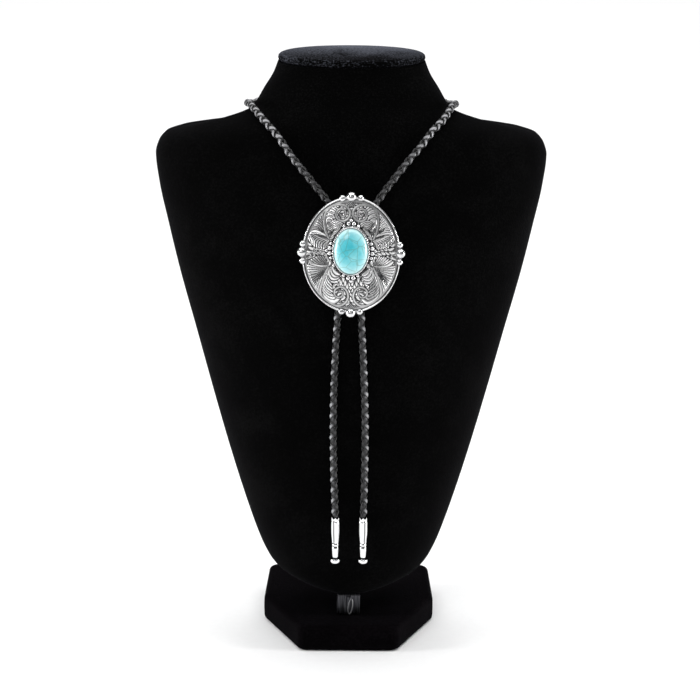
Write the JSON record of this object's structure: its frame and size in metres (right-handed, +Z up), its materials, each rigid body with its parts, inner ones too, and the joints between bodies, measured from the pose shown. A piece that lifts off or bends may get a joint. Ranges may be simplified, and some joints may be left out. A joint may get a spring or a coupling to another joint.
{
  "type": "bolo tie on a neck bust stand",
  "caption": "Western bolo tie: an oval engraved silver slide with a turquoise cabochon on a braided leather cord with metal tips, shown on a black velvet neck bust.",
  "frame": {"origin": "middle of the foot of the bust's base, on the surface it stands on", "axes": "+Z up, the front of the bust and of the slide face -Y, +X to the right seen from the front"},
  "size_m": [0.237, 0.1337, 0.3662],
  "materials": {
    "velvet": "matte",
    "bracket_steel": "satin",
    "aged_silver": "satin",
    "bright_silver": "polished",
    "turquoise": "polished",
    "braided_leather": "satin"
  },
  "bodies": {
    "root": {"bust_base": "velvet", "bust_form": "velvet", "bust_cap": "velvet", "bust_bracket": "bracket_steel", "slide_plate": "aged_silver", "turquoise_stone": "turquoise", "slide_clip": "aged_silver", "cord": "braided_leather", "tip_left": "bright_silver", "tip_right": "bright_silver"}
  },
  "joints": []
}
